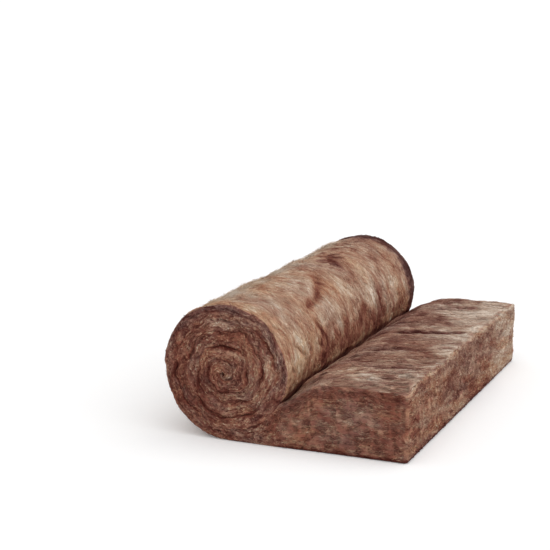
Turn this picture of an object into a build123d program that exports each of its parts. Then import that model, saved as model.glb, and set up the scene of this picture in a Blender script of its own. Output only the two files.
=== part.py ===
from build123d import *
import os
from math import cos, radians

# Partly unrolled roll of glass wool blanket, in millimetres.
# The roll's axis runs along Y. The unrolled tail lies on the floor towards +X. Z is up,
# and the origin is on the floor, in the middle of the whole object's length and width.
# The blanket is one piece: squeezed thin in the roll, sprung back to full thickness in the tail.

# The blanket
blanket_width = 1200.0
blanket_thickness = 200.0  # in the tail, where nothing squeezes it
soft_edge_radius = 9.0  # along the blanket's two long edges

# The roll
lap_thickness = 36.0  # one squeezed lap
quarter_count = 21  # quarter turns of the seam, from the floor in to the bore
bore_radius = 9.0

# The tail
crease_angle = 25.0  # below the roll's axis, where the tail leaves the roll
shoulder_reach = 85.0  # from the crease to where the tail has its full thickness
shoulder_radius = 220.0
flat_length = 280.0  # from there to the cut end
cut_edge_radius = 14.0

# The main folds of the outside, each from one point to another. On the roll a point is its degrees
# round the roll from the floor and its Y, and on the tail its distance from the cut end and its Y.
fold_width = 46.0
fold_depth = 5.0
fold_lift = 1.0  # how far off the surface a fold runs out
roll_folds = [
    ((203, -75), (226, -330)),
    ((240, -325), (268, -300)),
    ((240, 80), (268, 88)),
    ((238, 262), (266, 258)),
    ((196, 90), (184, 200)),
]
tail_folds = [
    ((225, 25), (35, 101)),
    ((240, -420), (65, -350)),
    ((245, -220), (80, -154)),
    ((245, 200), (95, 260)),
    ((220, 420), (60, 484)),
]

# The groove that the seam between the laps makes in both ends of the roll
seam_width = 12.0
seam_depth = 15.0
groove_lead = 6.0  # degrees of the roll that the groove starts above the crease
cutter_overrun = 1.0  # how far the groove's cutter stands out past the roll's ends

# The seam is a spiral of quarter turns. From one to the next, the radius drops by a quarter
# of a lap, and the centre moves by as much, round the corners of a small square.
quarter_step = lap_thickness / 4
outer_radius = bore_radius + quarter_count * quarter_step
crease_quarter = 3  # the crease is in the fourth quarter turn, below the axis

# The tail's top, from where it leaves the roll, and its length from under the roll's axis
crease_radius = outer_radius - crease_quarter * quarter_step
shoulder_x = crease_radius * cos(radians(crease_angle)) + shoulder_reach
tail_end_x = shoulder_x + flat_length
axis_x = (outer_radius - tail_end_x) / 2  # centres the whole object on the origin


def quarter_centre(quarter):
    """The centre of a quarter turn of the spiral, as X and Z. They count from the floor, inwards."""
    across = -quarter_step if quarter % 4 in (1, 2) else 0
    up = quarter_step if quarter % 4 in (2, 3) else 0
    return axis_x + across, outer_radius + up


def quarter_turn(quarter, start=0.0, end=90.0):
    """A quarter turn of the spiral, or the stretch of it between two angles."""
    radius = outer_radius - quarter * quarter_step
    return CenterArc(quarter_centre(quarter), radius, -90 - 90 * quarter - start, start - end)


def on_roll(degrees, across):
    """A point on the roll's outermost turn, and the direction out of it."""
    quarter = degrees // 90
    x, z = quarter_centre(quarter)
    out = Vector(1, 0, 0).rotate(Axis.Y, 90 + degrees)
    return Vector(x, across, z) + out * (outer_radius - quarter * quarter_step), out


def on_tail(from_end, across):
    """A point on the tail's flat top, and the direction out of it."""
    return Vector(axis_x + tail_end_x - from_end, across, blanket_thickness), Vector(0, 0, 1)


def press_fold(place, start, end):
    """Presses a soft fold into the blanket, deepest half way. place gives the points of the outside."""
    (start_point, _), (end_point, _) = place(*start), place(*end)
    middle, out = place((start[0] + end[0]) / 2, (start[1] + end[1]) / 2)
    along = end_point - start_point
    bulge = (middle - (start_point + end_point) / 2).length
    radius_across = (fold_width**2 / 4 + fold_depth**2) / (2 * fold_depth)
    axis_height = radius_across - fold_depth
    sheet = Plane(middle, x_dir=along, z_dir=along.cross(out))
    with BuildSketch(sheet) as half:
        with BuildLine():
            run_out = (along.length / 2, fold_lift - bulge)
            arc = ThreePointArc((-run_out[0], run_out[1]), (0, -fold_depth), run_out)
            Polyline(run_out, (run_out[0], axis_height), (-run_out[0], axis_height), arc @ 0)
        make_face()
    revolve(half.sketch, axis=Axis(middle + sheet.y_dir * axis_height, along), mode=Mode.SUBTRACT)


# The roll inside its outermost turn, which starts on the floor and ends one lap above it
with BuildPart() as roll:
    with BuildSketch(Plane.XZ):
        with BuildLine() as outer_turn:
            for quarter in range(crease_quarter + 1):
                quarter_turn(quarter)
            Line(outer_turn.line @ 1, outer_turn.line @ 0)
        make_face()
    extrude(amount=blanket_width / 2, both=True)
    fillet(roll.faces().filter_by(Axis.Y).edges().filter_by(GeomType.CIRCLE), soft_edge_radius)

# The blanket below the roll's last quarter turn, then its shoulder and its flat tail
with BuildPart() as tail:
    with BuildSketch(Plane.XZ) as side:
        with BuildLine():
            seam_below = quarter_turn(crease_quarter, start=crease_angle)
            Polyline(
                seam_below @ 1,
                (axis_x, 0),
                (axis_x + tail_end_x, 0),
                (axis_x + tail_end_x, blanket_thickness),
                (axis_x + shoulder_x, blanket_thickness),
                seam_below @ 0,
            )
        make_face()
        shoulder = side.vertices().sort_by_distance((axis_x + shoulder_x, blanket_thickness))[0]
        fillet(shoulder, shoulder_radius)
        fillet(side.vertices().sort_by(Axis.X)[-2:], cut_edge_radius)
    extrude(amount=blanket_width / 2, both=True)
    joined_edges = tail.faces().sort_by(Axis.X)[0].edges()
    fillet(tail.faces().filter_by(Axis.Y).edges() - joined_edges, soft_edge_radius)

# The groove, from the crease to the bore
with BuildPart() as seam:
    with BuildLine(Plane.XZ.offset(blanket_width / 2)) as seam_line:
        quarter_turn(crease_quarter, start=crease_angle - groove_lead)
        for quarter in range(crease_quarter + 1, quarter_count):
            quarter_turn(quarter)
    path = seam_line.wire()
    with BuildSketch(Plane(path @ 0, x_dir=(0, 1, 0), z_dir=path % 0)):
        with BuildLine():
            Polyline(
                (-cutter_overrun, -seam_width / 2),
                (seam_depth, 0),
                (-cutter_overrun, seam_width / 2),
                close=True,
            )
        make_face()
    sweep(path=path)
    mirror(about=Plane.XZ)

# The whole blanket, with the bore where the seam ends, and the folds
with BuildPart() as blanket:
    add(roll.part)
    add(tail.part)
    add(seam.part, mode=Mode.SUBTRACT)
    bore_x, bore_z = quarter_centre(quarter_count)
    with Locations(Plane(origin=(bore_x, 0, bore_z), z_dir=(0, -1, 0))):
        Hole(bore_radius)
    for start, end in roll_folds:
        press_fold(on_roll, start, end)
    for start, end in tail_folds:
        press_fold(on_tail, start, end)

os.makedirs("parts", exist_ok=True)
blanket.part.label = "glass_wool_blanket"
export_step(blanket.part, "parts/glass_wool_blanket.step")
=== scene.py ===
from math import ceil, cos, pi, radians, sin, sqrt, tan

import bmesh
import bpy
import numpy as np
from mathutils import Matrix, Vector


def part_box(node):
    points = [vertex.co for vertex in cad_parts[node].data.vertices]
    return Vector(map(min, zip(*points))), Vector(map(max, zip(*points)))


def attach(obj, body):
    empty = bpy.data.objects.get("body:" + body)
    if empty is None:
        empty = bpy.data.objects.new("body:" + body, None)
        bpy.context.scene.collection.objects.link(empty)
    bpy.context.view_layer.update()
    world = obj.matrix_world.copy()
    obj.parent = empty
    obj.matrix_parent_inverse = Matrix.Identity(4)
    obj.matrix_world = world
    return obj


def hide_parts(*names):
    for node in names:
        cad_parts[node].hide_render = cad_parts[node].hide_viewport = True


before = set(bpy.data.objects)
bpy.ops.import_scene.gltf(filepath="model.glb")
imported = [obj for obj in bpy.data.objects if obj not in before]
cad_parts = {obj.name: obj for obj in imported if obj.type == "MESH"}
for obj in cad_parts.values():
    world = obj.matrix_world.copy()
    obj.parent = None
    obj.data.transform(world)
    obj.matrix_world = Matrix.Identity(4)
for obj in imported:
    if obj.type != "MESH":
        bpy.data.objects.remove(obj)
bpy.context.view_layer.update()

# Partly unrolled roll of glass wool blanket, in metres.
# The blanket is laid out flat, divided, rolled up round the roll's axis and covered with loose fibres.
# Flat, a point has a length u from the tail's cut end into the roll, a place y across the blanket
# and a height h, which is 0 on the face that lies on the floor and 1 on the other face. Rolled up, theta
# counts the degrees from the floor, up the side away from the tail, and on through all the laps.

low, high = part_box("glass_wool_blanket")

# The blanket's own sizes
LAP = 0.036
EYE_RADIUS = 0.009
SMALLEST_EYE = 0.002
QUARTERS = 21
THICKNESS = 0.200
FLAT_X_FROM_AXIS = 0.290
TAIL_SLOPE = tan(radians(36))
SHOULDER_SOFTNESS = 0.014
TAIL_CROWN = 0.004  # how much lower the tail's top is at its sides

# The crease, in degrees round the roll from the floor. It's higher in the middle of the blanket than
# at its ends, where it drops from a place that far from the end.
CREASE_DEG = 288.0
CREASE_WAVE_DEG = 1.5
CREASE_DROP_NEAR_DEG = 8.0
CREASE_DROP_FAR_DEG = 6.0
CREASE_DROP_NEAR_FROM = 0.16
CREASE_DROP_FAR_FROM = 0.14
CREASE_DROP_LENGTH = 0.14
CREASE_DEPTH_DEG = 4.0
SHALLOWER_AT_ENDS = 0.8  # the share of its depth that the crease loses there
SHALLOW_FROM = 0.06
SHALLOW_LENGTH = 0.05
CREASE_GAP = 0.005
CREASE_MOUTH = 0.010
CREASE_LIP = 0.010

# Towards the eye, the laps have slipped aside and down
EYE_SHIFT_X = -0.012
EYE_SHIFT_Z = -0.010
SLIP_FROM_DEG = 700
SLIP_LENGTH_DEG = 1100

# How round the blanket's edges are: at the roll's rims, the tail's top and foot, the seams and the cut end
RIM_RADIUS = 0.006
TAIL_TOP_RADIUS = 0.008
TAIL_FOOT_RADIUS = 0.007
SEAM_RADIUS = 0.009
CUT_RADIUS = 0.006

# How open the seam is in the roll's ends: on average, how much that changes along it, and its limits.
# Below the crease it has closed, and towards the eye it's less open.
SEAM_OPEN = 0.50
SEAM_OPEN_CHANGE = 0.45
SEAM_OPEN_LIMITS = (0.05, 1.15)
SEAM_CLOSED_DEG = 313
SEAM_CLOSED_HALF_DEG = 18
SEAM_CLOSED_SHARE = 0.97
LESS_OPEN_SHARE = 0.4
LESS_OPEN_FROM_DEG = 1400
LESS_OPEN_LENGTH_DEG = 300

# The grain of the tail's top slants across the blanket, and has a stretch of the random fields to itself
TAIL_GRAIN_DEG = -22
GRAIN_AWAY = 3

# What follows from them and from the frame
STEP = LAP / 4
HALF = (high[1] - low[1]) / 2
OUTER = (high[2] - low[2] + STEP) / 2
AXIS_X = low[0] + OUTER
CUT_X = high[0]
FLAT_X = AXIS_X + FLAT_X_FROM_AXIS
SKIN_PER_DEG = radians(1) * OUTER


def ease(t):
    """A soft step from 0 to 1, as t goes from 0 to 1."""
    t = np.clip(t, 0, 1)
    return t * t * (3 - 2 * t)


def near(distance, reach):
    """1 at no distance, and softly down to 0 at the reach."""
    return 1 - ease(distance / reach)


def bell(distance, width):
    """1 at no distance, and softly down to almost 0 at twice the width, on both sides."""
    return np.exp(-((distance / width) ** 2))


def towards_end(y, start, length):
    """A soft step from 0 to 1 over the length, from the start's distance to the blanket's far end.
    With -y for y, that is its near end."""
    return ease((y - HALF + start) / length)


def blend(first, second, share):
    return first + (second - first) * share


def layered(layers, a, b):
    """The sum of random fields, each times its height or share."""
    return sum(share * field(a, b) for field, share in layers)


def random_field(seed, size, stretch=1.0, waves=28):
    """A smooth random field of about unit variance. Its features have that size, and are stretched
    along its first direction. It adds up waves in all directions, from 0.7 to 1.7 times as long."""
    rng = np.random.default_rng(seed)
    turn = rng.uniform(0, 2 * pi, waves)
    number = 2 * pi / size * 1.7 ** rng.uniform(-1, 0.6, waves)
    along, across = number * np.cos(turn) / stretch, number * np.sin(turn)
    phase = rng.uniform(0, 2 * pi, waves)

    def field(a, b):
        total = np.zeros(np.broadcast(a, b).shape)
        for i in range(waves):
            total += np.sin(along[i] * a + across[i] * b + phase[i])
        return total * sqrt(2 / waves)

    return field


# The seam between the laps: quarter turns about four centres, from the floor in to the eye


def quarter_of(theta):
    return np.clip(np.floor(theta / 90), 0, QUARTERS)


def seam_radius(theta):
    """The radius of the seam's quarter turns. Past the last of them it shrinks to the smallest eye."""
    shrunk = (EYE_RADIUS - SMALLEST_EYE) * np.clip((theta - 90 * QUARTERS) / 360, 0, 1)
    return OUTER - quarter_of(theta) * STEP - shrunk


def seam_point(theta, out):
    """X and Z of the seam at theta degrees round the roll from the floor, moved outwards."""
    turn = quarter_of(theta) % 4
    angle = np.radians(-90 - theta)
    radius = seam_radius(theta) + out
    slip = ease((theta - SLIP_FROM_DEG) / SLIP_LENGTH_DEG)
    x = AXIS_X - STEP * ((turn == 1) | (turn == 2)) + radius * np.cos(angle) + EYE_SHIFT_X * slip
    z = OUTER + STEP * ((turn == 2) | (turn == 3)) + radius * np.sin(angle) + EYE_SHIFT_Z * slip
    return x, z


crease_waves = random_field(16, 0.110, 1.0)


def crease_degrees(y):
    """The degrees of the crease's mouth."""
    near_end = towards_end(-y, CREASE_DROP_NEAR_FROM, CREASE_DROP_LENGTH)
    far_end = towards_end(y, CREASE_DROP_FAR_FROM, CREASE_DROP_LENGTH)
    waves = CREASE_WAVE_DEG * crease_waves(y, 0.0) * (1 - near_end) * (1 - far_end)
    return CREASE_DEG + CREASE_DROP_NEAR_DEG * near_end + CREASE_DROP_FAR_DEG * far_end + waves


def crease_shallow(y):
    """From 0, where the crease is deep, to 1 at the ends of the roll."""
    return towards_end(np.abs(y), SHALLOW_FROM, SHALLOW_LENGTH)


def crease_bottom(y):
    """The degrees of the crease's bottom."""
    return crease_degrees(y) + CREASE_DEPTH_DEG * (1 - SHALLOWER_AT_ENDS * crease_shallow(y))


# Lengths along the flat blanket: from the cut end to the shoulder, to the crease on the tail's side, to
# under the axis and to the crease on the roll's side. The seam's own lengths count from under the axis.
crease_x, crease_z = (float(c) for c in seam_point(np.array(CREASE_DEG), 0.0))
slope_length = np.hypot(FLAT_X - crease_x, THICKNESS - crease_z)
under_arc = radians(360 - CREASE_DEG) * float(seam_radius(np.array(CREASE_DEG)))
U_SHOULDER = CUT_X - FLAT_X
U_AXIS = CUT_X - AXIS_X
U_CREASE_TOP = U_SHOULDER + (U_AXIS - U_SHOULDER) * slope_length / (slope_length + under_arc)
quarter_degrees = 90.0 * np.arange(QUARTERS + 1)
lap_middles = (seam_radius(quarter_degrees[:-1]) + seam_radius(quarter_degrees[:-1] + 360)) / 2
quarter_starts = U_AXIS + np.concatenate([[0], np.cumsum(lap_middles * pi / 2)])
seam_degrees = 90.0 * np.arange(QUARTERS + 5)
seam_lengths = np.concatenate([[0], np.cumsum(seam_radius(seam_degrees[:-1]) * pi / 2)])
LENGTH = float(quarter_starts[-1])
U_CREASE_ROLL = float(np.interp(CREASE_DEG + CREASE_DROP_NEAR_DEG, quarter_degrees, quarter_starts))


def degrees_at(u):
    return np.interp(u, quarter_starts, quarter_degrees)


def along_seam(theta):
    return np.interp(theta, seam_degrees, seam_lengths)


def tail_grain(u, y):
    """Places along and across the grain of the tail's top."""
    slant = radians(TAIL_GRAIN_DEG)
    return u * cos(slant) + y * sin(slant) - GRAIN_AWAY, y * cos(slant) - u * sin(slant)


# The random fields of the relief, each with its seed, its size and its stretch

swell = random_field(1, 0.30, 1.2)
lumps = random_field(2, 0.095, 1.5)
tufts = random_field(3, 0.030, 2.6)
lap_waves = random_field(4, 0.075, 1.2)
lap_ripples = random_field(13, 0.026, 1.4)
furrow_lines = random_field(5, 0.042, 9.0)
fray = random_field(14, 0.030, 1.0)
skin_lines = random_field(6, 0.050, 3.0)
end_wander = random_field(7, 0.35, 1.0)
end_lines = random_field(8, 0.017, 5.0)
end_tufts = random_field(9, 0.013, 1.6)
crevices = random_field(10, 0.095, 1.0)
cut_lumps = random_field(11, 0.060, 2.0)
cut_tufts = random_field(12, 0.018, 2.5)
end_lumps = random_field(15, 0.030, 1.3)

# The heights of the relief. The large relief is calmer near the blanket's far end.
SKIN_RELIEF = [(swell, 0.0018), (lumps, 0.0016)]
TAIL_RELIEF = [(lumps, 0.0018), (swell, 0.0018)]
LAP_RELIEF = [(swell, 0.0022), (lap_waves, 0.0028), (lap_ripples, 0.0019)]
CUT_RELIEF = [(cut_lumps, 0.0014), (cut_tufts, 0.0009)]
TUFT_HEIGHT = 0.0008
SKIN_LINE_DEPTH = 0.0016
FURROW_DEPTH = 0.0040
FULL_RELIEF_RADIUS = 0.065  # laps with a smaller radius have less relief
CALM_SHARE = 0.75
CALM_FROM = 0.18
CALM_LENGTH = 0.14

# Folds: the points along each, its width and its depth. On the roll a point is its degrees round
# the roll and its y, and on the tail it is its u and its y. The first on the tail is a torn crack.
CRACK = [
    (0.232, 0.020),
    (0.200, 0.028),
    (0.172, 0.050),
    (0.146, 0.052),
    (0.120, 0.070),
    (0.096, 0.074),
    (0.072, 0.092),
    (0.052, 0.092),
    (0.030, 0.106),
]
ROLL_FOLDS = [
    ([(201, -0.065), (210, -0.120), (218, -0.165), (223, -0.210), (226, -0.330)], 0.017, 0.0085),
    ([(240, -0.330), (250, -0.300), (262, -0.318)], 0.012, 0.0080),
    ([(248, -0.505), (255, -0.488), (264, -0.460)], 0.008, 0.0070),
    ([(252, 0.078), (264, 0.090), (283, 0.095)], 0.011, 0.0060),
    ([(260, 0.150), (270, 0.158), (280, 0.178)], 0.010, 0.0050),
    ([(242, 0.232), (262, 0.246), (283, 0.276)], 0.012, 0.0060),
    ([(196, 0.090), (191, 0.150), (184, 0.200)], 0.015, 0.0060),
    ([(120, 0.250), (110, 0.100), (96, -0.080)], 0.018, 0.0050),
    ([(70, -0.300), (84, -0.350), (105, -0.420)], 0.016, 0.0050),
]
TAIL_FOLDS = [
    (CRACK, 0.0085, 0.0140),
    ([(0.240, -0.420), (0.150, -0.392), (0.065, -0.350)], 0.0080, 0.0035),
    ([(0.245, -0.220), (0.170, -0.182), (0.080, -0.154)], 0.0080, 0.0030),
    ([(0.245, 0.200), (0.170, 0.236), (0.095, 0.260)], 0.0080, 0.0045),
    ([(0.220, 0.420), (0.140, 0.458), (0.060, 0.484)], 0.0080, 0.0045),
]
# Mounds: the place of each in the same way, its half length and half width, and its height
ROLL_MOUNDS = [
    (207, -0.180, 0.050, 0.060, 0.0065),
    (247, -0.440, 0.045, 0.060, 0.0050),
    (238, -0.200, 0.040, 0.080, 0.0040),
    (262, 0.330, 0.035, 0.050, 0.0040),
]


def fold_depth(folds, a, b, scale=1.0):
    """How deep the folds are at a and b. The scale turns a into metres."""
    depth = np.zeros(np.broadcast(a, b).shape)
    for path, width, deepest in folds:
        gap = np.full(depth.shape, 1e3)
        for (a0, b0), (a1, b1) in zip(path, path[1:]):
            da, db = (a1 - a0) * scale, b1 - b0
            pa, pb = (a - a0) * scale, b - b0
            t = np.clip((pa * da + pb * db) / (da * da + db * db), 0, 1)
            gap = np.minimum(gap, np.hypot(pa - t * da, pb - t * db))
        ends = [np.hypot((a - p[0]) * scale, b - p[1]) for p in (path[0], path[-1])]
        fade = ease(np.minimum(*ends) / (4 * width) + 0.25)
        depth += deepest * fade * bell(gap, width)
    return depth


def blob(a, b, place, half_a, half_b, scale=1.0):
    """A soft spot at the place, 1 in its middle. The scale turns a into metres."""
    return np.exp(-(((a - place[0]) * scale / half_a) ** 2) - ((b - place[1]) / half_b) ** 2)


def roll_folds(theta, y):
    return fold_depth(ROLL_FOLDS, theta, y, SKIN_PER_DEG)


def calm(y):
    """The share of the large relief that is left towards the far end of the blanket."""
    return 1 - CALM_SHARE * towards_end(y, CALM_FROM, CALM_LENGTH)


def seam_relief(theta, y):
    """How far the seam stands out from its quarter turns."""
    v = along_seam(theta)
    laps = layered(LAP_RELIEF, v, y) * np.clip(seam_radius(theta) / FULL_RELIEF_RADIUS, 0.1, 1)
    skin = layered(SKIN_RELIEF, v, y) * calm(y) + TUFT_HEIGHT * tufts(v, y)
    skin = skin - SKIN_LINE_DEPTH * bell(skin_lines(v, y), 0.3) - roll_folds(theta, y)
    for degrees, across, half_along, half_across, height in ROLL_MOUNDS:
        skin = skin + height * blob(theta, y, (degrees, across), half_along, half_across, SKIN_PER_DEG)
    # From the crease on, the seam is inside the roll and has the relief of the laps
    outside = ease((crease_degrees(y) + 6 - theta) / 20)
    deeper = ease((theta - CREASE_DEG) / 60)
    return ease(theta / 30) * (outside * skin + (1 - outside) * deeper * laps)


def top_relief(u, y):
    """How far the tail's top stands out."""
    a, b = tail_grain(u, y)
    furrows = -FURROW_DEPTH * bell(furrow_lines(a, b), 0.20)
    soft = layered(TAIL_RELIEF, a, b) * calm(y) + TUFT_HEIGHT * tufts(a, b)
    crown = -TAIL_CROWN * (y / HALF) ** 4
    return furrows + soft + crown - fold_depth(TAIL_FOLDS, u, y)


def crease_under(u, y):
    """How far a place of the upper face is from the bottom of the crease, which is 0, to under the axis,
    which is 1, and its degrees."""
    share = np.clip((u - U_CREASE_TOP) / (U_AXIS - U_CREASE_TOP), 0, 1)
    start = crease_bottom(y)
    return share, start + share * (360 - start)


def top_line(u, y):
    """X and Z of the blanket's upper face, from the cut end to under the roll's axis."""
    mouth_x, mouth_z = seam_point(crease_degrees(y), CREASE_MOUTH)
    start_x, start_z = seam_point(crease_bottom(y), CREASE_GAP)
    slope = np.clip((u - U_SHOULDER) / (U_CREASE_TOP - U_SHOULDER), 0, 1)
    x = CUT_X - np.clip(u, None, U_SHOULDER) + slope * (start_x - FLAT_X)
    rise = mouth_z + (x - mouth_x) * TAIL_SLOPE
    z = -SHOULDER_SOFTNESS * np.logaddexp(-rise / SHOULDER_SOFTNESS, -THICKNESS / SHOULDER_SOFTNESS)
    relief = top_relief(u, y) * near(slope - 0.7, 0.3)
    x, z = x - 0.4 * slope * relief, z + relief
    # The slope curls down into the crease, and from its bottom the blanket follows the seam
    lip = np.clip((mouth_x + CREASE_LIP - x) / (mouth_x + CREASE_LIP - start_x), 0, 1)
    z = z + (start_z - z) * lip**2
    under, theta = crease_under(u, y)
    gap = CREASE_GAP * near(under, 0.15 - 0.11 * crease_shallow(y))
    seam_x, seam_z = seam_point(theta, seam_relief(theta, y) * ease(under / 0.3) + gap)
    return np.where(under > 0, seam_x, x), np.where(under > 0, seam_z, z)


def faces_at(u, y):
    """X and Z of the face on the floor's side, and of the other face."""
    theta = degrees_at(u)
    rolled = u > U_AXIS
    share = np.clip((u - U_SHOULDER) / (U_AXIS - U_SHOULDER), 0, 1)
    bottom_x = CUT_X - np.clip(u, None, U_SHOULDER) - share * (FLAT_X - AXIS_X)
    outer_x, outer_z = seam_point(theta, seam_relief(theta, y))
    inner_x, inner_z = seam_point(theta + 360, seam_relief(theta + 360, y))
    top_x, top_z = top_line(u, y)
    bottom = np.where(rolled, outer_x, bottom_x), np.where(rolled, outer_z, 0.0)
    top = np.where(rolled, inner_x, top_x), np.where(rolled, inner_z, top_z)
    return bottom, top


def thickness_at(u):
    bottom, top = faces_at(u, np.zeros_like(u))
    return np.hypot(top[0] - bottom[0], top[1] - bottom[1])


def quarter_round(distance, radius):
    """How far a rounded edge has drawn back, at a distance from the face beside it."""
    t = np.clip(1 - distance / radius, 0, 1)
    return radius * (1 - np.sqrt(1 - t * t))


def seam_strength(theta, side):
    """How open the seam is in an end of the roll."""
    closed = np.exp(-(((theta - SEAM_CLOSED_DEG) / SEAM_CLOSED_HALF_DEG) ** 4))
    inwards = ease((theta - LESS_OPEN_FROM_DEG) / LESS_OPEN_LENGTH_DEG)
    open_here = SEAM_OPEN + SEAM_OPEN_CHANGE * crevices(along_seam(theta), 7 * side)
    open_here = np.clip(open_here, *SEAM_OPEN_LIMITS)
    return open_here * (1 - LESS_OPEN_SHARE * inwards) * (1 - SEAM_CLOSED_SHARE * closed)


def seams_beside(u, y):
    """The degrees of the seams on the floor's side and on the other side of the blanket."""
    theta = degrees_at(u)
    return theta, np.where(u > U_AXIS, theta + 360, crease_under(u, y)[1])


def end_inset(u, y, h, thickness, side):
    """How far the blanket's long edges draw back towards its faces and seams, and how far those are."""
    in_roll = ease((u - U_CREASE_TOP + 0.02) / 0.06)
    on_skin = ease((U_CREASE_ROLL - u) / 0.05)
    seam_low, seam_high = (SEAM_RADIUS * seam_strength(theta, side) for theta in seams_beside(u, y))
    low_radius = TAIL_FOOT_RADIUS + (RIM_RADIUS - TAIL_FOOT_RADIUS) * ease((u - U_AXIS) / 0.05)
    low_radius = seam_low + (low_radius - seam_low) * on_skin
    frayed_radius = TAIL_TOP_RADIUS * (1 + 0.45 * fray(u, y))
    high_radius = np.maximum(frayed_radius + (seam_high - frayed_radius) * in_roll, 0.0004)
    d = np.clip(np.minimum(h, 1 - h), 0, None) * thickness
    return quarter_round(d, np.where(h < 0.5, low_radius, high_radius)), d


def end_relief(u, depth, side, d):
    """How far the long edges stand out, at a distance d from the faces. They're rougher inside the roll."""
    inner = ease((u - U_CREASE_ROLL) / 0.3)
    wander = (0.0012 + 0.0022 * inner) * end_wander(u, 9 * side + 0.3 * depth)
    lines = -(0.0008 + 0.0014 * inner) * bell(end_lines(u + 5 * side, depth), 0.3)
    bumps = 0.0013 * end_tufts(u, depth + side) + 0.0015 * inner * end_lumps(u, depth + side)
    return wander + (lines + bumps) * ease(d / 0.006)


def cut_relief(u, y, depth, d):
    """How far the cut end stands out, with its own soft edges and tufts."""
    to_side = np.clip(HALF - np.abs(y), 0, None)
    inset = quarter_round(d, CUT_RADIUS) + quarter_round(to_side, CUT_RADIUS)
    return near(u, 0.03) * (layered(CUT_RELIEF, y, depth) * ease(d / 0.025) - inset)


def roll_up(u, y, h):
    """Where a point of the flat blanket lies. Outside the blanket, it stands that far off its face."""
    y_inside = np.clip(y, -HALF, HALF)
    bottom, top = faces_at(u, y_inside)
    thickness = np.hypot(top[0] - bottom[0], top[1] - bottom[1])
    side = np.sign(y)
    depth = h * thickness
    inset, d = end_inset(u, y_inside, h, thickness, side)
    half_here = HALF - inset + end_relief(u, depth, side, d)
    beyond = np.clip(np.abs(y) - HALF, 0, None)
    y_out = y * half_here / HALF + side * beyond * (1 - half_here / HALF)
    x = bottom[0] + (top[0] - bottom[0]) * h
    z = bottom[1] + (top[1] - bottom[1]) * h
    x = x + cut_relief(u, y, depth, d) + np.clip(-u, 0, None)
    return np.stack([x, y_out, z], axis=-1)


# The wool's colour: its tone goes from 0, dark, to 1, pale, and its warmth from 0, greyish, to 1, orange.
# These random fields make it up.

blotches = random_field(21, 0.110, 1.2)
mottle = random_field(22, 0.034, 1.8)
streaks = random_field(23, 0.012, 5.0, waves=40)
fine_streaks = random_field(28, 0.0065, 6.0, waves=40)
grit = random_field(29, 0.011, 1.2, waves=40)
strands = random_field(30, 0.009, 9.0, waves=40)
warm_blotches = random_field(24, 0.170, 1.3)
warm_mottle = random_field(25, 0.045, 2.0)
inner_laps = random_field(33, 0.100, 2.0)
clumps = random_field(34, 0.040, 1.2)
warm_spots = random_field(35, 0.018, 2.5)
cut_streaks = random_field(36, 0.024, 2.2)
swirl = random_field(37, 0.120, 1.0)
crumbs = random_field(38, 0.0075, 1.0, waves=50)
warp_a = random_field(26, 0.060, 1.0)
warp_b = random_field(27, 0.060, 1.0)

# The tone and the warmth of each part, and how much greyer it is where it's paler
ROLL_TONE, ROLL_WARMTH, ROLL_GREYER = 0.60, 0.55, 1.3
TAIL_TONE, TAIL_WARMTH, TAIL_GREYER = 0.47, 0.40, 0.9
SIDE_TONE, SIDE_WARMTH, SIDE_GREYER = 0.440, 0.60, 1.0
ROLL_END_TONE, ROLL_END_WARMTH, ROLL_END_GREYER = 0.412, 0.64, 0.4
CUT_END_TONE, CUT_END_WARMTH, CUT_END_GREYER = 0.490, 0.64, 1.2

# The fields and their shares. On the long edges they are for the tail's sides and for the roll's ends.
STRANDS_ON_TAIL, STRANDS_ON_ROLL = 0.030, 0.022
FACE_TONE_MIX = [(blotches, 0.052), (mottle, 0.040), (streaks, 0.032)]
FACE_WARMTH_MIX = [(warm_blotches, 0.10), (warm_mottle, 0.05)]
CUT_TONE_MIX = [(blotches, 0.035), (cut_streaks, 0.060), (streaks, 0.035), (clumps, 0.035), (grit, 0.045)]
CUT_WARMTH_MIX = [(warm_blotches, 0.08), (warm_mottle, 0.12), (warm_spots, 0.08)]
EDGE_TONE_MIX = [
    (streaks, 0.056, 0.040),
    (fine_streaks, 0.025, 0.040),
    (blotches, 0.015, 0.027),
    (mottle, 0.022, 0.035),
    (grit, 0.006, 0.040),
    (crumbs, 0.000, 0.024),
]
EDGE_WARMTH_MIX = [(warm_blotches, 0.12), (warm_mottle, 0.11), (warm_spots, 0.08)]

# Folds and furrows have painted shade on their far walls, that far behind their bottoms, and a painted
# highlight before them, on their lips
FOLD_WALL = 0.008
FOLD_LIP = 0.014
FURROW_WALL = 0.006
FURROW_LIP = 0.007

# How much darker or warmer a fold's painted shade is, and how much paler its painted lip highlight, for
# each metre of its depth
FOLD_SHADE_ON_ROLL, FOLD_SHADE_ON_TAIL, PAINTED_LIP_HIGHLIGHT, FOLD_SHADE_WARMTH_ON_ROLL = 34, 28, 10, 90

# Painted shade beside the crease, dark and warm, and along the rim of the roll's far end, dark and grey,
# where the rounded rim turns from the light
CREASE_SHADE = 0.010
WARM_BY_CREASE_ON_ROLL = 0.110
WARM_BY_CREASE_ON_TAIL = 0.070
FAR_RIM_SHADE_FROM = 0.074
FAR_RIM_SHADE_FADE = 0.045

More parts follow.
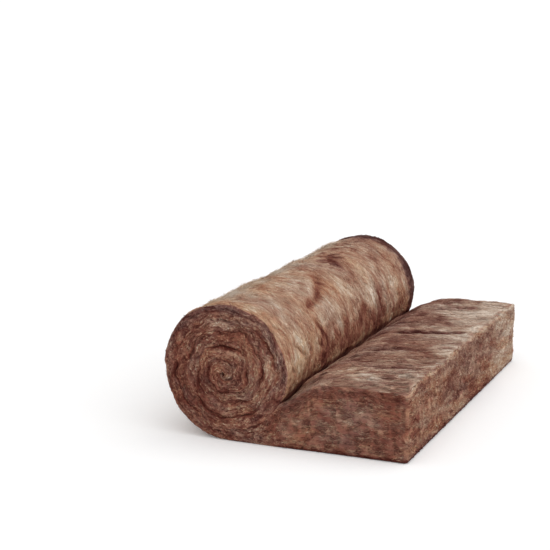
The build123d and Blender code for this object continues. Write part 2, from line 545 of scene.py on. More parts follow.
# Patches: the place of each as in the folds, its half length and half width, and what it adds to the tone
# and the warmth. Their outlines are warped.
PATCH_WARP = 0.014
# The darker patches from 263 to 277 degrees, near the crease, are painted shade
ROLL_PATCHES = [
    (204, -0.190, 0.045, 0.075, 0.08, 0.05),
    (217, -0.130, 0.016, 0.050, -0.05, 0.45),
    (239, -0.220, 0.042, 0.080, 0.15, -0.20),
    (205, -0.440, 0.040, 0.110, 0.08, -0.15),
    (252, -0.440, 0.044, 0.090, 0.10, 0.40),
    (284, -0.530, 0.034, 0.070, -0.06, 0.75),
    (263, -0.300, 0.050, 0.026, -0.26, 0.30),
    (243, 0.120, 0.035, 0.260, 0.05, -0.15),
    (262, 0.340, 0.022, 0.050, 0.08, -0.10),
    (194, 0.130, 0.028, 0.040, -0.42, -0.60),
    (188, 0.190, 0.026, 0.070, -0.14, -0.40),
    (184, 0.235, 0.018, 0.035, -0.34, -0.40),
    (180, 0.350, 0.020, 0.055, -0.24, -0.35),
    (266, -0.315, 0.030, 0.032, -0.25, 0.40),
    (277, -0.310, 0.036, 0.080, -0.20, 0.15),
    (272, -0.120, 0.056, 0.170, -0.25, 0.15),
    (255, 0.070, 0.020, 0.020, -0.14, 0.20),
    (258, 0.230, 0.022, 0.022, -0.14, 0.10),
    (272, 0.230, 0.050, 0.180, -0.17, -0.20),
    (270, 0.500, 0.040, 0.090, -0.10, 0.30),
    (272, -0.510, 0.036, 0.075, 0.12, 0.50),
    (183, -0.270, 0.030, 0.160, 0.02, 0.25),
    (205, -0.585, 0.200, 0.045, 0.04, 0.45),
    (162, -0.400, 0.050, 0.200, 0.10, -0.05),
    (165, -0.050, 0.035, 0.140, 0.09, -0.08),
    (158, 0.250, 0.045, 0.200, 0.07, -0.05),
    (135, 0.050, 0.050, 0.120, -0.06, 0.10),
    (140, -0.250, 0.040, 0.100, -0.05, 0.00),
    (208, 0.460, 0.090, 0.090, -0.07, -0.20),
    (176, 0.530, 0.050, 0.060, -0.14, -0.45),
    (250, 0.560, 0.060, 0.030, -0.12, -0.30),
]
TAIL_PATCHES = [
    (0.165, -0.165, 0.040, 0.036, -0.13, 0.00),
    (0.085, -0.385, 0.020, 0.028, -0.20, -0.05),
    (0.165, 0.235, 0.036, 0.040, -0.24, -0.10),
    (0.290, 0.300, 0.045, 0.250, -0.16, -0.20),
    (0.195, 0.520, 0.030, 0.045, -0.24, -0.15),
    (0.140, -0.505, 0.040, 0.038, 0.48, -0.15),
    (0.090, -0.430, 0.032, 0.026, 0.36, -0.15),
    (0.200, -0.440, 0.022, 0.030, 0.20, -0.15),
    (0.150, 0.115, 0.040, 0.030, 0.14, -0.15),
    (0.060, 0.420, 0.080, 0.220, 0.36, -0.30),
    (0.180, 0.400, 0.060, 0.100, 0.16, -0.30),
    (0.090, 0.020, 0.050, 0.030, 0.20, -0.20),
    (0.080, 0.130, 0.045, 0.040, 0.24, -0.20),
    (0.035, -0.050, 0.024, 0.250, 0.18, -0.10),
    (0.200, -0.250, 0.050, 0.030, 0.10, -0.10),
    # These two bands along the top's cut edge are paler: partly pale fuzz, partly painted highlight where
    # the edge catches the light
    (0.010, 0.200, 0.014, 0.500, 0.20, -0.05),
    (0.012, -0.350, 0.012, 0.350, 0.20, 0.00),
    (0.230, -0.080, 0.030, 0.200, -0.06, 0.00),
]


def patch_colour(patches, a, b, scale=1.0):
    """What the patches add to the tone and the warmth at a and b. The scale turns a into metres."""
    tone, warmth = np.zeros(a.shape), np.zeros(a.shape)
    b_warped = b + PATCH_WARP * warp_b(a * scale, b)
    a_warped = a + PATCH_WARP * warp_a(a * scale, b) / scale
    for a0, b0, half_a, half_b, pale, warm in patches:
        share = blob(a_warped, b_warped, (a0, b0), half_a, half_b, scale)
        tone, warmth = tone + pale * share, warmth + warm * share
    return tone, warmth


def fold_colour(u, y, a, b, rolled):
    """What the folds and the furrows add to the tone and the warmth: painted shade in them, redder on the
    roll, and a painted highlight on their lips. a and b follow the grain.
    """
    on_roll = roll_folds(degrees_at(u), y)
    depth = np.where(rolled, on_roll, fold_depth(TAIL_FOLDS, u, y - FOLD_WALL))
    before = np.where(rolled, 0, fold_depth(TAIL_FOLDS, u, y + FOLD_LIP))
    furrow_shade = bell(furrow_lines(a, b - FURROW_WALL), 0.16) * ~rolled
    lip = bell(furrow_lines(a, b + FURROW_LIP), 0.16) * ~rolled
    # Painted shade deeper in the folds and on the furrows' far walls, painted highlight on their lips
    tone = PAINTED_LIP_HIGHLIGHT * before - np.where(rolled, FOLD_SHADE_ON_ROLL, FOLD_SHADE_ON_TAIL) * depth
    return tone - 0.17 * furrow_shade + 0.07 * lip, FOLD_SHADE_WARMTH_ON_ROLL * depth * rolled


def border_colour(u, y, rolled):
    """What the crease and the roll's far rim add to the tone and the warmth: painted shade, dark and red in
    the crease, warmer in a stretch beside it that is also a little paler on the tail, and dark and grey
    along the far rim.
    """
    over_crease = np.radians(crease_degrees(y) - degrees_at(u)) * OUTER
    to_crease = np.where(rolled, over_crease, U_CREASE_TOP - u)
    painted_crease_shade = near(to_crease - 0.001, CREASE_SHADE)
    warmed = near(to_crease, np.where(rolled, WARM_BY_CREASE_ON_ROLL, WARM_BY_CREASE_ON_TAIL))
    painted_rim_shade = towards_end(y + 0.007 * fray(u, 0), FAR_RIM_SHADE_FROM, FAR_RIM_SHADE_FADE) * rolled
    tone = 0.05 * warmed * ~rolled - 0.27 * painted_crease_shade - 0.40 * painted_rim_shade
    return tone, (0.25 + 0.30 * rolled) * warmed + 0.4 * painted_crease_shade - 0.45 * painted_rim_shade


def face_colour(u, y):
    """Tone and warmth of the roll's skin and of the tail's top. What is paler is greyer."""
    rolled = u > U_AXIS
    a, b = (np.where(rolled, *pair) for pair in zip((u, y), tail_grain(u, y)))
    on_roll = patch_colour(ROLL_PATCHES, degrees_at(u), y, SKIN_PER_DEG)
    on_tail = patch_colour(TAIL_PATCHES, u, y)
    change = layered(FACE_TONE_MIX, a, b) + np.where(rolled, on_roll[0], on_tail[0])
    change = change + np.where(rolled, STRANDS_ON_ROLL, STRANDS_ON_TAIL) * strands(a, b)
    tone = np.where(rolled, ROLL_TONE, TAIL_TONE) + change
    warmth = np.where(rolled, ROLL_WARMTH + on_roll[1], TAIL_WARMTH + on_tail[1])
    warmth = warmth + layered(FACE_WARMTH_MIX, a, b) - np.where(rolled, ROLL_GREYER, TAIL_GREYER) * change
    folds = fold_colour(u, y, a, b, rolled)
    borders = border_colour(u, y, rolled)
    return tone + folds[0] + borders[0], warmth + folds[1] + borders[1]


def seam_colour(u, depth, side, rolled):
    """What the seams and the fine grooves add to the tone and the warmth of the roll's ends: painted shade,
    darker and redder, in the open seams and the grooves, and a little paler in the middle of the laps.
    """
    thickness = thickness_at(u)
    below, above = seams_beside(u, side * HALF)
    nearer = np.where(depth < thickness / 2, below, above)
    to_seam = np.clip(np.minimum(depth, thickness - depth), 0, None)
    painted_seam_shade = seam_strength(nearer, side) * near(to_seam, SEAM_RADIUS) * rolled
    painted_seam_shade = painted_seam_shade * np.where(depth < thickness / 2, ease((u - U_CREASE_ROLL) / 0.02), 1)
    painted_groove_shade = bell(end_lines(u + 5 * side, depth), 0.3) * ease(to_seam / 0.006)
    lap_middle = bell(to_seam - 0.013, 0.004) * rolled * inner_laps(u + 4 * side, depth)
    tone = 0.07 * lap_middle - 0.27 * painted_seam_shade - (0.03 + 0.08 * rolled) * painted_groove_shade
    return tone, 0.40 * painted_seam_shade + 0.20 * painted_groove_shade


def outer_lap_colour(u, depth):
    """What the outermost lap adds: painted shade along its rounded rim, darker and greyer, and paler inside
    it on its right.
    """
    theta = degrees_at(u)
    outer_lap = ease((u - U_AXIS) / 0.1) * ease((U_CREASE_ROLL - u) / 0.1)
    painted_lap_rim_shade = ease((theta - 80) / 50) * bell(depth - 0.006, 0.013)
    inside_rim = bell(theta - 250, 35) * bell(depth - 0.024, 0.008)
    tone = outer_lap * (0.07 * inside_rim - 0.12 * painted_lap_rim_shade)
    return tone, -outer_lap * (0.40 * inside_rim + 0.45 * painted_lap_rim_shade), outer_lap


def tail_side_colour(u, depth, rolled):
    """What the tail's sides add: darker and redder under their top edge, at their foot and by the cut, and
    a painted contact shadow right at the foot.
    """
    below_top = bell(thickness_at(u) - depth - 0.018, 0.013) * (1 - rolled)
    at_foot = near(depth - 0.004, 0.016) * (1 - rolled)
    painted_contact_shadow = near(depth, 0.014) * (1 - rolled)
    by_cut = bell(u - 0.045, 0.035)
    corner = near(u, 0.010)
    tone = 0.03 * corner - 0.12 * below_top - 0.05 * at_foot - 0.44 * painted_contact_shadow - 0.06 * by_cut
    return tone, 0.20 * below_top + 0.20 * at_foot + 0.25 * by_cut


def end_colour(u, depth, side):
    """Tone and warmth of the blanket's long edges, which are the roll's ends and the tail's sides."""
    a, b = u + 4 * side, depth
    rolled = ease((u - U_CREASE_TOP) / 0.05)
    # The roll's ends are a little paler on their right
    paler = 0.030 * np.cos(np.radians(degrees_at(u) - 250))
    tone = blend(SIDE_TONE, ROLL_END_TONE, rolled) + paler * rolled
    for field, on_tail, on_roll in EDGE_TONE_MIX:
        tone = tone + blend(on_tail, on_roll, rolled) * field(a, b)
    warmth = blend(SIDE_WARMTH, ROLL_END_WARMTH, rolled) + layered(EDGE_WARMTH_MIX, a, b)
    warmth = warmth - blend(SIDE_GREYER, ROLL_END_GREYER, rolled) * (tone - SIDE_TONE)
    seam_tone, seam_warmth = seam_colour(u, depth, side, rolled)
    lap_tone, lap_warmth, outer_lap = outer_lap_colour(u, depth)
    side_tone, side_warmth = tail_side_colour(u, depth, rolled)
    tone = tone + seam_tone + lap_tone + side_tone
    warmth = warmth + seam_warmth + lap_warmth + side_warmth + 0.10 * ease((u - 2.5) / 1.0)
    return tone, np.maximum(warmth, 0.30 - outer_lap)


def cut_colour(y, depth):
    """Tone and warmth of the cut end: paler and greyer far off, pale along its top, partly pale fuzz and
    partly painted highlight, and dark at its foot, a painted contact shadow.
    """
    a, b = (y + 9) / 2.5, depth + 0.2 * y
    tone = CUT_END_TONE + layered(CUT_TONE_MIX, a, b)
    warmth = CUT_END_WARMTH + layered(CUT_WARMTH_MIX, a, b) - CUT_END_GREYER * (tone - CUT_END_TONE)
    far = ease((y - 0.15) / 0.35)
    middle = bell(y - 0.02, 0.20)
    top_fuzz_and_highlight = ease((depth - THICKNESS + 0.014) / 0.012)
    tone = tone + 0.20 * far - 0.05 * middle + 0.26 * top_fuzz_and_highlight
    # Painted contact shadow: darker towards the foot
    tone = tone - 0.10 * near(depth - 0.004, 0.012) - 0.50 * near(depth - 0.002, 0.014)
    warmth = np.maximum(warmth, 0.45) - 0.35 * far - 0.10 * middle
    return tone, warmth + 0.28 * bell(depth - 0.035, 0.02)


# The body of the blanket. Its stretches, and into how many pieces each is divided. One step of dividing
# makes at most 100 pieces, so what is finer takes two.
STRETCHES = [
    (0, U_SHOULDER, [40]),
    (U_SHOULDER, U_CREASE_TOP, [36]),
    (U_CREASE_TOP, U_AXIS, [32]),
    (U_AXIS, U_CREASE_ROLL, [2, 84]),
    (U_CREASE_ROLL, LENGTH, [4, 84]),
]
PIECES_ACROSS = [2, 98]
PIECES_THROUGH = 18
STRAIGHT = 0.999  # the least share of an edge's direction that lies along an axis
TOUCH = 0.001  # what is this near a face of the flat box is on it
# Painted shade: the body is darker than the fibres, for the shade between them
PAINTED_SHADE_UNDER_FIBRES = 0.05  # how much darker the body is than the fibres on it


def divide(pick, pieces):
    """In edit mode, divides each picked edge into pieces. pick gets an edge's middle and direction."""
    mesh = bmesh.from_edit_mesh(bpy.context.edit_object.data)
    bpy.ops.mesh.select_all(action="DESELECT")
    for edge in mesh.edges:
        start, end = (v.co for v in edge.verts)
        edge.select = bool(pick((start + end) / 2, (end - start).normalized()))
    bmesh.update_edit_mesh(bpy.context.edit_object.data)
    bpy.ops.mesh.subdivide(number_cuts=pieces - 1)


def lengthwise(first, last):
    """Picks the edges along the blanket in a stretch of it."""
    return lambda mid, way: abs(way.x) > STRAIGHT and first < -mid.x < last


def shows(mid):
    """Whether a place on the flat blanket's faces shows when it's rolled up."""
    on_top = mid.z > 1 - TOUCH and -mid.x < U_CREASE_TOP + 0.05
    on_roll = mid.z < TOUCH and U_AXIS - 0.01 < -mid.x < U_CREASE_ROLL + 0.05
    at_cut = -mid.x < TOUCH
    return on_top or on_roll or at_cut


def add_blanket():
    """The blanket laid out as a box, from the cut end to -X, divided where it bends and where it shows."""
    bpy.ops.object.select_all(action="DESELECT")
    bpy.ops.mesh.primitive_cube_add(size=1, location=(-LENGTH / 2, 0, 0.5))
    body = bpy.context.object
    body.name = body.data.name = "wool_blanket"
    body.scale = (LENGTH, 2 * HALF, 1)
    bpy.ops.object.transform_apply(location=True, scale=True)
    bpy.ops.object.mode_set(mode="EDIT")
    for u in (U_SHOULDER, U_CREASE_TOP, U_AXIS, U_CREASE_ROLL):
        bpy.ops.mesh.select_all(action="SELECT")
        bpy.ops.mesh.bisect(plane_co=(-u, 0, 0), plane_no=(1, 0, 0))
    for first, last, steps in STRETCHES:
        for pieces in steps:
            divide(lengthwise(first, last), pieces)
    for pieces in PIECES_ACROSS:
        divide(lambda mid, way: abs(way.y) > STRAIGHT and shows(mid), pieces)
    divide(lambda mid, way: abs(way.z) > STRAIGHT, PIECES_THROUGH)
    bpy.ops.object.mode_set(mode="OBJECT")
    return body


def write_attribute(mesh, name, values):
    kind = "FLOAT" if values.ndim == 1 else "FLOAT_VECTOR"
    made = mesh.attributes.new(name, kind, "POINT")
    made.data.foreach_set("value" if values.ndim == 1 else "vector", values.astype(np.float32).ravel())


def smooth(mesh):
    mesh.polygons.foreach_set("use_smooth", np.ones(len(mesh.polygons), dtype=bool))


def roll_blanket(body):
    """Moves the flat box's corners to where they lie when it's rolled up, and gives them their colour.
    The layers through the box draw together towards both faces."""
    mesh = body.data
    flat = np.empty(3 * len(mesh.vertices), dtype=np.float32)
    mesh.vertices.foreach_get("co", flat)
    flat = flat.reshape(-1, 3).astype(float)
    u, y = np.clip(-flat[:, 0], 0, LENGTH), flat[:, 1]
    h = (1 - np.cos(pi * np.clip(flat[:, 2], 0, 1))) / 2
    placed = roll_up(u, y, h)
    placed[:, 2] = np.maximum(placed[:, 2], 0.0)
    depth = h * thickness_at(u)
    on_face = (h < TOUCH) | (h > 1 - TOUCH)
    on_cut = (u < TOUCH) & ~on_face
    colours = [face_colour(u, y), end_colour(u, depth, np.sign(y)), cut_colour(y, depth)]
    which = np.where(on_face, 0, np.where(on_cut, 2, 1))
    tone, warmth = (np.choose(which, [c[i] for c in colours]) for i in (0, 1))
    write_attribute(mesh, "grain", np.stack([u, y, depth], axis=-1))
    write_attribute(mesh, "tone", tone - PAINTED_SHADE_UNDER_FIBRES)
    write_attribute(mesh, "warmth", warmth)
    mesh.vertices.foreach_set("co", placed.astype(np.float32).ravel())
    mesh.update()
    smooth(mesh)


# The loose fibres. The directions of the flat blanket are along it, across it and through it.
U_WAY, Y_WAY, DEPTH_WAY = np.eye(3)
TIP_SINK = 0.0006  # how far a fibre's tips are sunk into the wool
FIBRE_BOW = 0.10  # shares of its length and of its width
FIBRE_HEIGHT = 0.4


def fibre_mesh(name, points):
    """Makes one mesh of closed spindles. points holds five corners for each fibre: its two tips and
    the three corners of its thick middle."""
    count = len(points)
    a, b, c = (points[:, i] - points[:, 0] for i in (2, 3, 4))
    mirrored = np.einsum("ij,ij->i", np.cross(a, b), c) < 0
    points[mirrored] = points[mirrored][:, [0, 1, 3, 2, 4]]
    mesh = bpy.data.meshes.new(name)
    mesh.vertices.add(count * 5)
    mesh.vertices.foreach_set("co", points.astype(np.float32).ravel())
    corners = np.array([[0, 3, 2], [0, 4, 3], [0, 2, 4], [1, 2, 3], [1, 3, 4], [1, 4, 2]])
    triangles = (corners[None] + 5 * np.arange(count)[:, None, None]).reshape(-1)
    mesh.loops.add(len(triangles))
    mesh.loops.foreach_set("vertex_index", triangles.astype(np.int32))
    mesh.polygons.add(count * 6)
    mesh.polygons.foreach_set("loop_start", np.arange(0, count * 18, 3, dtype=np.int32))
    mesh.update(calc_edges=True)
    smooth(mesh)
    # Each fibre has its own cell of the map
    rows = ceil(sqrt(count))
    cell = np.stack([np.arange(count) % rows, np.arange(count) // rows], axis=-1)
    spots = np.array([[0.1, 0.5], [0.9, 0.5], [0.5, 0.1], [0.5, 0.9], [0.5, 0.5]])
    places = (cell[:, None, :] + spots[None]).reshape(-1, 2) / rows
    layer = mesh.uv_layers.new(name="OFBake")
    layer.uv.foreach_set("vector", places[triangles].astype(np.float32).ravel())
    made = bpy.data.objects.new(name, mesh)
    bpy.context.collection.objects.link(made)
    return made


def lay_fibres(name, roots, ways, shape, colour, rng):
    """Lays a fibre at each root (u, y, depth). ways are along the grain, across it and out of the face.
    shape is each fibre's length, width, slant, rise of its tip and lift of its middle, and colour its tone
    and warmth."""
    along, across, out = ways
    length, width, slant, rise, lift = (column[:, None] for column in shape)
    way = np.cos(slant) * along + np.sin(slant) * across
    beside = np.cos(slant) * across - np.sin(slant) * along
    count = len(roots)
    if along is U_WAY:
        # The fibres along the blanket stay behind its cut end
        roots[:, 0] = np.maximum(roots[:, 0], 0.52 * length[:, 0])
    bow = rng.normal(0, FIBRE_BOW, (count, 1)) * length
    start = roots - length / 2 * way + (rng.normal(0, 0.3, (count, 1)) * rise - TIP_SINK) * out
    end = roots + length / 2 * way + (rise - TIP_SINK) * out
    middle = roots + bow * beside + lift * out
    left, right = middle - width / 2 * beside, middle + width / 2 * beside
    flat = np.stack([start, end, left, right, middle + FIBRE_HEIGHT * width * out], axis=1)
    thick = thickness_at(np.clip(roots[:, 0], 0, LENGTH))[:, None]
    placed = roll_up(flat[..., 0], flat[..., 1], flat[..., 2] / thick)
    placed[..., 2] = np.maximum(placed[..., 2], 0.0)
    made = fibre_mesh(name, placed)
    write_attribute(made.data, "tone", np.repeat(colour[0], 5))
    write_attribute(made.data, "warmth", np.repeat(colour[1], 5))
    write_attribute(made.data, "grain", flat.reshape(-1, 3))
    return made


def skin_fibres(name, seed, count, on_roll, length, width, loose, spread):
    """Fibres on the roll's skin or on the tail's top. A share of them is loose, and their tones spread."""
    rng = np.random.default_rng(seed)
    y = rng.uniform(-HALF + 0.002, HALF - 0.002, count)
    if on_roll:
        end = np.interp(crease_degrees(y) - 2, quarter_degrees, quarter_starts)
        u = U_AXIS + 0.02 + (end - U_AXIS - 0.02) * rng.random(count)
        depth, out, lean = np.zeros(count), -DEPTH_WAY, 0
    else:
        u = rng.uniform(0.001, U_CREASE_TOP - 0.012, count)
        depth, out, lean = thickness_at(u), DEPTH_WAY, TAIL_GRAIN_DEG
    stray = rng.random(count) < loose
    folds = roll_folds(degrees_at(u), y) if on_roll else fold_depth(TAIL_FOLDS, u, y)
    shape = (
        length * rng.uniform(0.6, 1.5, count) * (1 - 0.6 * np.clip(folds / 0.010, 0, 1)),
        width * rng.uniform(0.6, 1.4, count),
        np.radians(lean + rng.normal(0, 14, count) + 9 * mottle(u + 1, y) + 12 * swirl(u, y) * on_roll),
        np.where(stray, rng.uniform(0.001, 0.004, count), 0.0),
        rng.uniform(0.0002, 0.0010, count),
    )
    tone, warmth = face_colour(u, y)
    tone = tone + rng.normal(0, spread, count) + 0.15 * (rng.random(count) < 0.04)
    roots = np.stack([u, y, depth], axis=-1)
    return lay_fibres(name, roots, (U_WAY, Y_WAY, out), shape, (tone, warmth), rng)


WISPS_AT_DEG = 155  # round the roll from the floor, where its outline shows
WISPS_SPREAD_DEG = 9
# Wisps are paler: partly pale loose fibre, partly painted highlight for the backlit hairs on the outline
WISP_PALER = 0.12


def wisps(name, seed, tuft_count, in_tuft):
    """Tufts of long pale fibres that stand off the top of the roll."""
    rng = np.random.default_rng(seed)
    tuft_y = rng.uniform(-HALF + 0.03, HALF - 0.08, tuft_count)
    tuft_degrees = rng.normal(WISPS_AT_DEG, WISPS_SPREAD_DEG, tuft_count)
    tuft_slant = rng.choice([-1, 1], tuft_count) * rng.normal(66, 16, tuft_count)
    tuft_rise = 0.005 + 0.013 * rng.random(tuft_count) ** 1.3
    count = tuft_count * in_tuft
    y, degrees, slant, rise = (np.repeat(v, in_tuft) for v in (tuft_y, tuft_degrees, tuft_slant, tuft_rise))
    y = y + rng.normal(0, 0.015, count)
    u = np.interp(degrees + rng.normal(0, 2, count), quarter_degrees, quarter_starts)
    rise = rise * rng.uniform(0.2, 1.0, count)
    shape = (
        rng.uniform(0.025, 0.060, count),
        rng.uniform(0.0007, 0.0014, count),
        np.radians(slant + rng.normal(0, 14, count)),
        rise,
        0.3 * rise + rng.uniform(0.0003, 0.0010, count),
    )
    tone, warmth = face_colour(u, y)
    roots = np.stack([u, y, np.zeros(count)], axis=-1)
    return lay_fibres(name, roots, (U_WAY, Y_WAY, -DEPTH_WAY), shape, (tone + WISP_PALER, warmth), rng)


def end_fibres(name, seed, count):
    """Fibres on both ends of the roll and on both sides of the tail, along the laps."""
    rng = np.random.default_rng(seed)
    grid = np.linspace(0.002, LENGTH - 0.01, 2000)
    share = np.cumsum(thickness_at(grid))
    u = np.interp(rng.random(count) * share[-1], share, grid)
    side = np.where(rng.random(count) < 0.5, -1.0, 1.0)
    thick = thickness_at(u)
    depth = rng.uniform(0.02, 0.98, count) * thick
    in_roll = u > U_CREASE_TOP
    shape = (
        np.where(in_roll, 0.014, 0.024) * rng.uniform(0.5, 1.5, count) * np.clip(thick / LAP, 0.2, 1.0),
        np.where(in_roll, 0.0019, 0.0015) * rng.uniform(0.5, 1.5, count),
        np.radians(rng.normal(0, 1, count)) * np.where(in_roll, 27, 11) + 0.12 * mottle(u + 2, depth),
        np.where(rng.random(count) < 0.05, rng.uniform(0.001, 0.003, count), 0.0),
        rng.uniform(0.0002, 0.0010, count),
    )
    tone, warmth = end_colour(u, depth, side)
    tone = tone + rng.normal(0, 1, count) * np.where(in_roll, 0.115, 0.080)
    roots = np.stack([u, side * HALF, depth], axis=-1)
    return lay_fibres(name, roots, (U_WAY, DEPTH_WAY, side[:, None] * Y_WAY), shape, (tone, warmth), rng)


def cut_end_fibres(name, seed, count):
    """Fibres on the cut end, mostly lying level."""
    rng = np.random.default_rng(seed)
    y = rng.uniform(-HALF + 0.003, HALF - 0.003, count)
    depth = rng.uniform(0.006, THICKNESS - 0.005, count)
    shape = (
        0.026 * rng.uniform(0.5, 1.5, count),
        0.0016 * rng.uniform(0.5, 1.5, count),
        np.radians(rng.normal(102, 22, count)),
        np.where(rng.random(count) < 0.05, rng.uniform(0.001, 0.003, count), 0.0),
        rng.uniform(0.0002, 0.0008, count),
    )
    tone, warmth = cut_colour(y, depth)
    tone = tone + rng.normal(0, 0.080, count)
    roots = np.stack([np.zeros(count), y, depth], axis=-1)
    return lay_fibres(name, roots, (DEPTH_WAY, Y_WAY, -U_WAY), shape, (tone, warmth), rng)


# Finishes: the wool's colours from dark to pale, greyish and orange

GREYISH_STOPS = [
    (0.10, (0.070, 0.025, 0.022)),
    (0.35, (0.200, 0.103, 0.086)),
    (0.55, (0.370, 0.236, 0.180)),
    (0.75, (0.565, 0.424, 0.330)),
    (0.95, (0.800, 0.700, 0.600)),
]
ORANGE_STOPS = [
    (0.10, (0.095, 0.020, 0.013)),
    (0.35, (0.245, 0.086, 0.056)),
    (0.55, (0.440, 0.222, 0.132)),
    (0.75, (0.620, 0.425, 0.275)),
    (0.95, (0.800, 0.690, 0.530)),
]


def new_material(name, roughness, specular):
    material = bpy.data.materials.new(name)
    material.use_nodes = True
    shader = material.node_tree.nodes["Principled BSDF"]
    shader.inputs["Roughness"].default_value = roughness
    shader.inputs["Specular IOR Level"].default_value = specular
    return material, material.node_tree, shader


def add_node(tree, kind, **settings):
    """Adds a node. Each setting is one of its inputs or one of its own values."""
    node = tree.nodes.new(kind)
    for key, value in settings.items():
        if key in node.inputs:
            node.inputs[key].default_value = value
        else:
            setattr(node, key, value)
    return node


def grain_noise(tree, scale, detail, seed):
    """Noise along the blanket's own directions. scale is per metre along, across and through it."""
    grain = add_node(tree, "ShaderNodeAttribute", attribute_name="grain")
    mapping = add_node(tree, "ShaderNodeMapping", Scale=scale, Location=(seed, seed, seed))
    noise = add_node(tree, "ShaderNodeTexNoise", Scale=1.0, Detail=detail, Roughness=0.6)
    tree.links.new(grain.outputs["Vector"], mapping.inputs["Vector"])
    tree.links.new(mapping.outputs["Vector"], noise.inputs["Vector"])
    return noise.outputs["Fac"]


def tone_ramp(tree, tone, stops):
    """The colour of a tone, from the stops."""
    ramp = add_node(tree, "ShaderNodeValToRGB")
    tree.links.new(tone, ramp.inputs["Fac"])
    elements = ramp.color_ramp.elements
    for i, (place, colour) in enumerate(stops):
        element = elements[i] if i < 2 else elements.new(place)
        element.position = place
        element.color = (*colour, 1)
    return ramp.outputs["Color"]


def wool_material(name, roughness, noise_scale, noise_share, bump=0.0):
    """Wool that takes its colour from the tone and the warmth of each place, broken up by fine noise."""
    material, tree, shader = new_material(name, roughness, 0.15)
    tone = add_node(tree, "ShaderNodeAttribute", attribute_name="tone")
    warmth = add_node(tree, "ShaderNodeAttribute", attribute_name="warmth")
    noise = grain_noise(tree, noise_scale, 3.0, 2.0)
    spread = add_node(tree, "ShaderNodeMapRange")
    spread.inputs["From Min"].default_value = 0.3
    spread.inputs["From Max"].default_value = 0.7
    spread.inputs["To Min"].default_value = -noise_share
    spread.inputs["To Max"].default_value = noise_share
    broken = add_node(tree, "ShaderNodeMath", operation="ADD")
    colour = add_node(tree, "ShaderNodeMix", data_type="RGBA")
    tree.links.new(noise, spread.inputs["Value"])
    tree.links.new(spread.outputs["Result"], broken.inputs[0])
    tree.links.new(tone.outputs["Fac"], broken.inputs[1])
    tree.links.new(warmth.outputs["Fac"], colour.inputs[0])
    tree.links.new(tone_ramp(tree, broken.outputs[0], GREYISH_STOPS), colour.inputs[6])
    tree.links.new(tone_ramp(tree, broken.outputs[0], ORANGE_STOPS), colour.inputs[7])
    tree.links.new(colour.outputs[2], shader.inputs["Base Color"])
    if bump:
        relief = add_node(tree, "ShaderNodeBump", Strength=bump, Distance=0.003)
        tree.links.new(noise, relief.inputs["Height"])
        tree.links.new(relief.outputs["Normal"], shader.inputs["Normal"])
    return material


# The stage: floor, light and camera. The camera stands where the photo was taken from.

CAMERA_AT = (AXIS_X + 1.677, -4.479, 1.342)
CAMERA_YAW_DEG = 21.69
CAMERA_PITCH_DEG = 11.61
CAMERA_ROLL_DEG = 0.59
CAMERA_LENS = 103.35

FLOOR_SIZE = 120
FLOOR_COLOUR = (0.92, 0.92, 0.92, 1)
FLOOR_GLOW = 0.12
SUN_STRENGTH = 1.74
SUN_FROM = (0.55, -0.22, 0.80)
SUN_SOFTNESS_DEG = 110
WORLD_STRENGTH = 0.60


def shown_ray(tree):
    """1 for the rays that show the background, straight or by way of metal or glass, or else 0."""
    path = add_node(tree, "ShaderNodeLightPath")
    shown = path.outputs["Is Camera Ray"]
    for other in ("Is Glossy Ray", "Is Transmission Ray"):
        either = add_node(tree, "ShaderNodeMath", operation="MAXIMUM")
        tree.links.new(shown, either.inputs[0])
        tree.links.new(path.outputs[other], either.inputs[1])
        shown = either.outputs[0]
    return shown


def add_camera():
    data = bpy.data.cameras.new("camera")
    data.lens = CAMERA_LENS
    data.sensor_width = 36
    camera = bpy.data.objects.new("camera", data)
    bpy.context.collection.objects.link(camera)
    turn = Matrix.Rotation(radians(CAMERA_YAW_DEG), 4, "Z")
    tilt = Matrix.Rotation(radians(90 - CAMERA_PITCH_DEG), 4, "X")
    roll = Matrix.Rotation(radians(CAMERA_ROLL_DEG), 4, "Z")
    camera.matrix_world = Matrix.Translation(CAMERA_AT) @ turn @ tilt @ roll
    bpy.context.scene.camera = camera


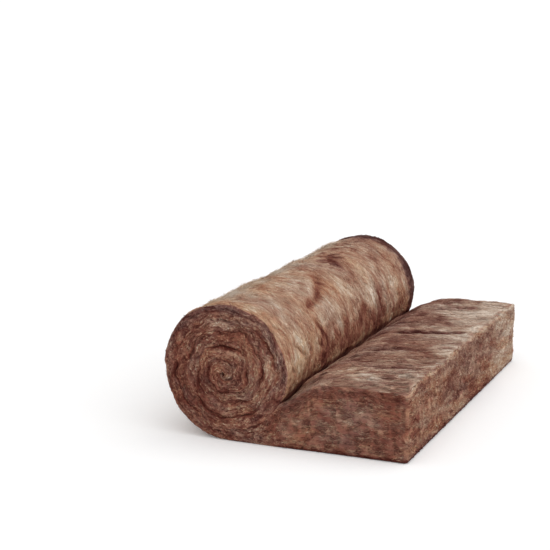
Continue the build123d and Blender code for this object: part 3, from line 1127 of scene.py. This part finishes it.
def add_floor():
    bpy.ops.object.select_all(action="DESELECT")
    bpy.ops.mesh.primitive_plane_add(size=FLOOR_SIZE)
    floor = bpy.context.object
    floor.name = "floor"
    material, tree, shader = new_material("pale_floor", 1.0, 0.0)
    shader.inputs["Base Color"].default_value = FLOOR_COLOUR
    shader.inputs["Emission Color"].default_value = (1, 1, 1, 1)
    glow = add_node(tree, "ShaderNodeMath", operation="MULTIPLY")
    glow.inputs[1].default_value = FLOOR_GLOW
    tree.links.new(shown_ray(tree), glow.inputs[0])
    tree.links.new(glow.outputs[0], shader.inputs["Emission Strength"])
    floor.data.materials.append(material)


def add_sun():
    data = bpy.data.lights.new("softbox", "SUN")
    data.energy = SUN_STRENGTH
    data.angle = radians(SUN_SOFTNESS_DEG)
    sun = bpy.data.objects.new("softbox", data)
    bpy.context.collection.objects.link(sun)
    sun.rotation_mode = "QUATERNION"
    sun.rotation_quaternion = (-Vector(SUN_FROM)).to_track_quat("-Z", "Y")


def add_surroundings():
    world = bpy.data.worlds.new("studio")
    world.use_nodes = True
    tree = world.node_tree
    strength = add_node(tree, "ShaderNodeMix", data_type="FLOAT")
    strength.inputs[2].default_value = WORLD_STRENGTH
    strength.inputs[3].default_value = 1.0
    background = tree.nodes["Background"]
    background.inputs["Color"].default_value = (1, 1, 1, 1)
    tree.links.new(shown_ray(tree), strength.inputs[0])
    tree.links.new(strength.outputs[0], background.inputs["Strength"])
    bpy.context.scene.world = world


def finish_piece(piece, material):
    piece.data.materials.clear()
    piece.data.materials.append(material)
    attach(piece, "root")


add_camera()
bpy.context.scene.view_settings.view_transform = "Standard"
add_floor()
add_sun()
add_surroundings()

blanket = add_blanket()
roll_blanket(blanket)
matted_wool = wool_material("matted_wool", 0.92, noise_scale=(40, 260, 260), noise_share=0.07, bump=0.4)
finish_piece(blanket, matted_wool)
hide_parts("glass_wool_blanket")

loose_wool = wool_material("loose_fibres", 0.85, noise_scale=(30, 200, 200), noise_share=0.03)
fibres = [
    skin_fibres("roll_tufts", 31, 28000, True, length=0.023, width=0.0028, loose=0.02, spread=0.045),
    skin_fibres("roll_fibres", 32, 32000, True, length=0.026, width=0.0013, loose=0.06, spread=0.080),
    wisps("roll_wisps", 36, tuft_count=280, in_tuft=12),
    skin_fibres("tail_fibres", 33, 26000, False, length=0.044, width=0.0015, loose=0.02, spread=0.070),
    end_fibres("end_fibres", 34, 33000),
    cut_end_fibres("cut_end_fibres", 35, 13000),
]
for piece in fibres:
    finish_piece(piece, loose_wool)
